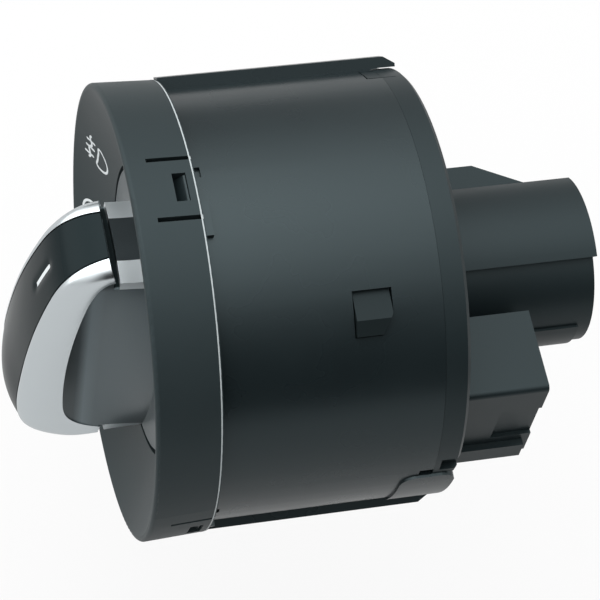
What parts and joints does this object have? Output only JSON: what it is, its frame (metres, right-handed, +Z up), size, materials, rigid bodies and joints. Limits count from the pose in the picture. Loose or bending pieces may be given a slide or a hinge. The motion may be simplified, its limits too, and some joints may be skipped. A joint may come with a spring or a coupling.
{
  "type": "headlight switch",
  "caption": "Round dashboard headlight switch: dished dial, turning and pulling bar knob, barrel with side catches, two rear sockets.",
  "frame": {"origin": "centre of the dash opening, on the switch axis in the plane of the bezel's rear face, which seats on the dash", "axes": "+Y along the switch axis from the dial to the sockets, +Z up as installed with the pointer at its off position, +X to the driver's right"},
  "size_m": [0.078, 0.0995, 0.078],
  "materials": {
    "satin_dark_plastic": "satin",
    "barrel_plastic": "satin",
    "cover_plastic": "satin",
    "grip_plastic": "satin",
    "satin_chrome": "satin",
    "gloss_black": "gloss",
    "white_mark": "satin",
    "clear_plastic": "clear",
    "catch_plastic": "satin",
    "rotor_plastic": "satin",
    "spring_steel": "bright",
    "tinned_brass": "bright",
    "board_green": "satin",
    "component_black": "matt",
    "component_metal": "bright",
    "lamp_white": "gloss"
  },
  "bodies": {
    "housing": {"front_bezel": "satin_dark_plastic", "barrel_housing": "barrel_plastic", "rear_cover": "cover_plastic", "round_socket_blades": "tinned_brass", "inner_box_blades": "tinned_brass", "outer_box_blades": "tinned_brass", "circuit_board": "board_green", "controller_chip": "component_black", "board_capacitor": "component_metal", "power_transistor": "component_black", "board_screws": "spring_steel", "contact_plate": "component_black", "inner_contact_track": "tinned_brass", "outer_contact_track": "tinned_brass", "detent_ring": "rotor_plastic", "light_guide": "clear_plastic", "lamp_board": "board_green", "dial_lamps": "lamp_white", "upper_catch_spring": "spring_steel", "lower_catch_spring": "spring_steel"},
    "rotor": {"rotor": "rotor_plastic", "rotor_end_cap": "rotor_plastic", "wiper_contacts": "tinned_brass", "upper_detent_ball": "spring_steel", "lower_detent_ball": "spring_steel", "upper_detent_spring": "spring_steel", "lower_detent_spring": "spring_steel", "shaft_spring": "spring_steel"},
    "knob": {"knob_body": "grip_plastic", "knob_inlay": "gloss_black", "pointer_line": "white_mark", "knob_trim": "satin_chrome", "pointer_end_trim": "satin_chrome", "tail_end_trim": "satin_chrome", "knob_shaft": "rotor_plastic", "shaft_clip": "spring_steel"},
    "upper_catch": {"upper_catch": "catch_plastic"},
    "lower_catch": {"lower_catch": "catch_plastic"}
  },
  "joints": [
    {"name": "knob_turn", "type": "hinge", "parent": "housing", "child": "rotor", "pos_m": [0, 0, 0], "axis": [0, 1, 0], "range_deg": [-30, 60]},
    {"name": "knob_pull", "type": "slide", "parent": "rotor", "child": "knob", "axis": [0, -1, 0], "range_m": [-0.0015, 0.006], "deforming": ["shaft_spring"]},
    {"name": "upper_catch_press", "type": "slide", "parent": "housing", "child": "upper_catch", "axis": [-0.5878, 0, -0.809], "range_m": [0, 0.0022], "stiffness_N_per_m": 300, "springref_m": -0.001, "deforming": ["upper_catch_spring"]},
    {"name": "lower_catch_press", "type": "slide", "parent": "housing", "child": "lower_catch", "axis": [0.5878, 0, 0.809], "range_m": [0, 0.0022], "stiffness_N_per_m": 300, "springref_m": -0.001, "deforming": ["lower_catch_spring"]}
  ]
}
